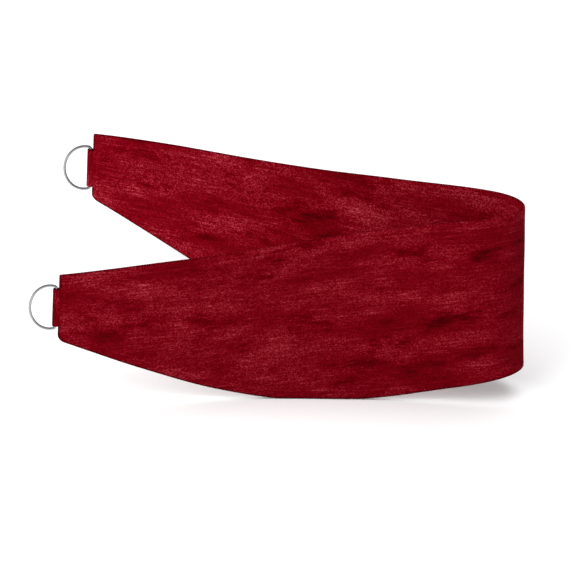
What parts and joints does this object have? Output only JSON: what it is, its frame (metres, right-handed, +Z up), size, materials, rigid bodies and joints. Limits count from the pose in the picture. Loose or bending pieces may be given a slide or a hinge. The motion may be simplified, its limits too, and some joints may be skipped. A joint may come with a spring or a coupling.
{
  "type": "curtain tieback",
  "caption": "Shaped fabric curtain tieback, looped as in use and standing on its lower edge, with a cloth tab and a wire D-ring at each end for a wall hook.",
  "frame": {"origin": "on the surface it rests on, under the centre of its bounding box", "axes": "+X towards the fold of the loop, +Y towards the back leg, +Z up"},
  "size_m": [0.3304, 0.2248, 0.1396],
  "materials": {
    "cloth": "matte crushed pile in deep crimson, streaked along the band",
    "ring": "bright plated wire"
  },
  "bodies": {
    "root": {"panel_outer": "cloth", "panel_inner": "cloth", "ring_tab_front": "cloth", "ring_tab_back": "cloth", "d_ring_front": "ring", "d_ring_back": "ring"}
  },
  "joints": []
}
